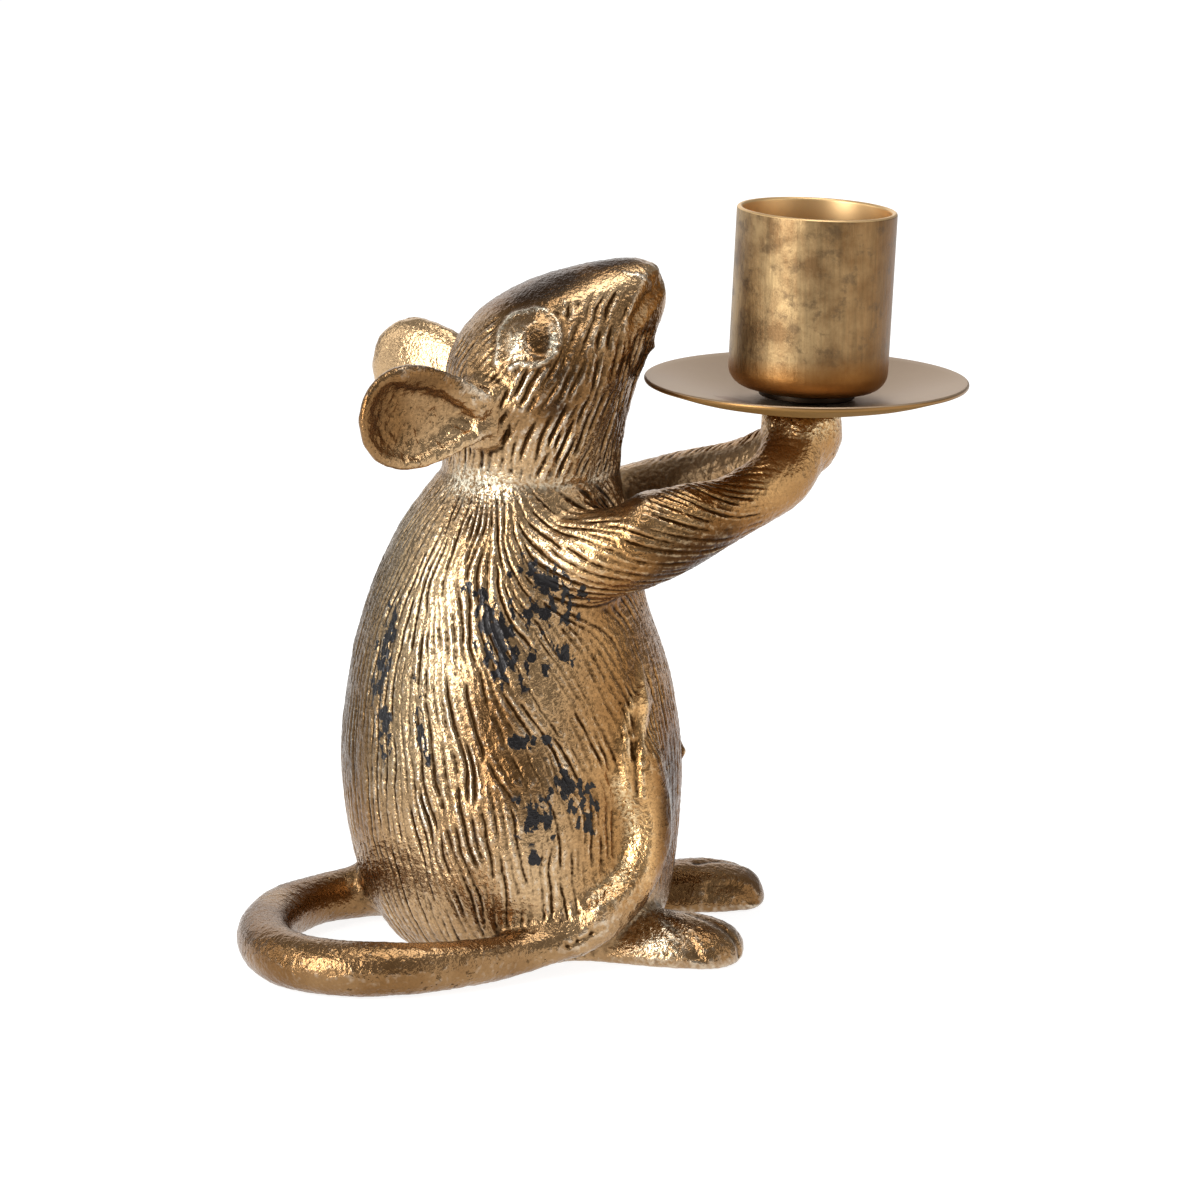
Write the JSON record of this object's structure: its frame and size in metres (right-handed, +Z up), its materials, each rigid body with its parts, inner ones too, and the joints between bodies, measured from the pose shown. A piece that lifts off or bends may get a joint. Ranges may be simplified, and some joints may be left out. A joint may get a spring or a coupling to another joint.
{
  "type": "mouse candle holder",
  "caption": "Cast mouse that sits upright and holds a dished drip pan and a round candle cup in its raised paws, with its tail curled round its side.",
  "frame": {"origin": "on the floor, under the middle of the bounding box", "axes": "+Z up; +X the way the mouse faces, towards the candle cup; +Y to the mouse's left"},
  "size_m": [0.1126, 0.0678, 0.1146],
  "materials": {
    "antique_gold_casting": "sand casting with chased fur, antique gold finish worn to dark metal in patches",
    "antique_gold_sheet": "turned and brushed, antique gold finish with brown tarnish",
    "dark_steel": "tarnished"
  },
  "bodies": {
    "mouse": {"right_body_half": "antique_gold_casting", "left_body_half": "antique_gold_casting", "head": "antique_gold_casting", "tail": "antique_gold_casting", "fixing_screw": "dark_steel", "screw_washer": "dark_steel"},
    "pan": {"drip_pan": "antique_gold_sheet"},
    "cup": {"candle_cup": "antique_gold_sheet", "cup_spacer": "dark_steel"}
  },
  "joints": [
    {"name": "pan_swivel", "type": "hinge", "parent": "mouse", "child": "pan", "pos_m": [0.03127, 0.00609, 0.083], "axis": [0.0192, 0, 0.9998], "continuous": true},
    {"name": "cup_swivel", "type": "hinge", "parent": "mouse", "child": "cup", "pos_m": [0.03127, 0.00609, 0.083], "axis": [0.0489, 0, 0.9988], "continuous": true}
  ]
}
